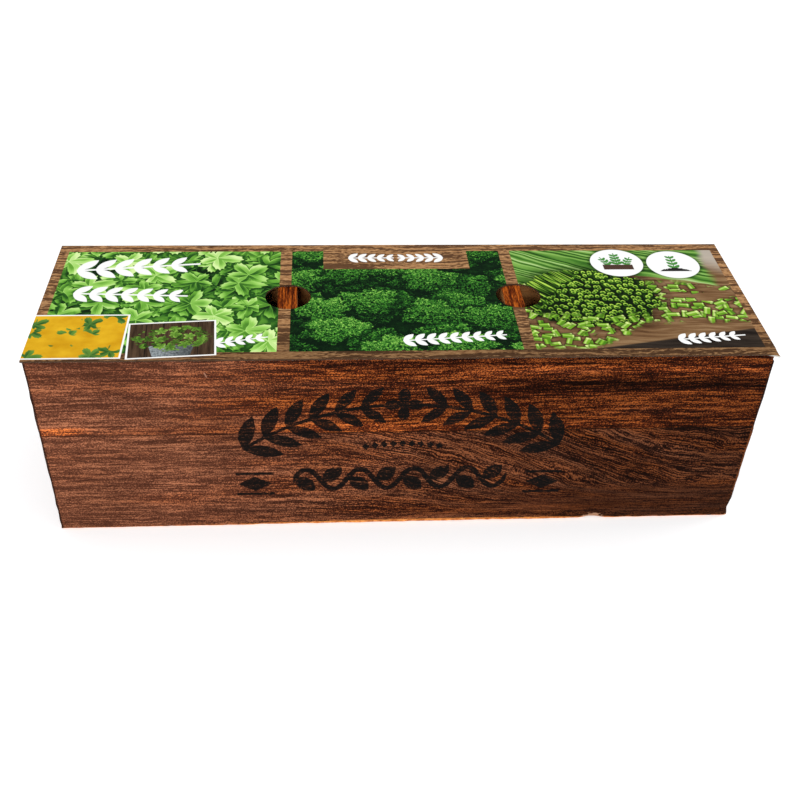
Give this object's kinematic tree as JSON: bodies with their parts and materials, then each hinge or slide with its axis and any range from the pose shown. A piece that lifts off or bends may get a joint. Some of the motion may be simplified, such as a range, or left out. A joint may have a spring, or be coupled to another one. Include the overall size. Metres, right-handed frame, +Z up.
{
  "type": "indoor herb planter",
  "caption": "Long wooden box planter divided into lined cells for herbs, under a flat card lid with finger holes.",
  "frame": {"origin": "middle of the footprint, on the surface that the planter stands on", "axes": "+X along the box, front facing -Y, +Z up"},
  "size_m": [0.351, 0.106, 0.105],
  "materials": {
    "scorched_wood": "scorched and brushed",
    "inner_wood": "scorched and brushed",
    "bottom_wood": "sawn",
    "printed_card": "printed, satin",
    "clear_plastic": "thermoformed, clear",
    "pressed_coir": "pressed fibre",
    "sachet_paper": "uncoated"
  },
  "bodies": {
    "box": {"front_upper_board": "scorched_wood", "back_upper_board": "scorched_wood", "right_end_upper_board": "scorched_wood", "left_end_upper_board": "scorched_wood", "front_lower_board": "scorched_wood", "back_lower_board": "scorched_wood", "right_end_lower_board": "scorched_wood", "left_end_lower_board": "scorched_wood", "left_divider": "inner_wood", "right_divider": "inner_wood", "bottom_panel": "bottom_wood", "left_liner": "clear_plastic", "left_coir_disc": "pressed_coir", "left_seed_sachet": "sachet_paper", "middle_liner": "clear_plastic", "middle_coir_disc": "pressed_coir", "middle_seed_sachet": "sachet_paper", "right_liner": "clear_plastic", "right_coir_disc": "pressed_coir", "right_seed_sachet": "sachet_paper"},
    "lid": {"lid_card": "printed_card"}
  },
  "joints": [
    {"name": "lid_lift", "type": "slide", "parent": "box", "child": "lid", "axis": [0, 0, 1], "range_m": [0, 0.12]}
  ]
}
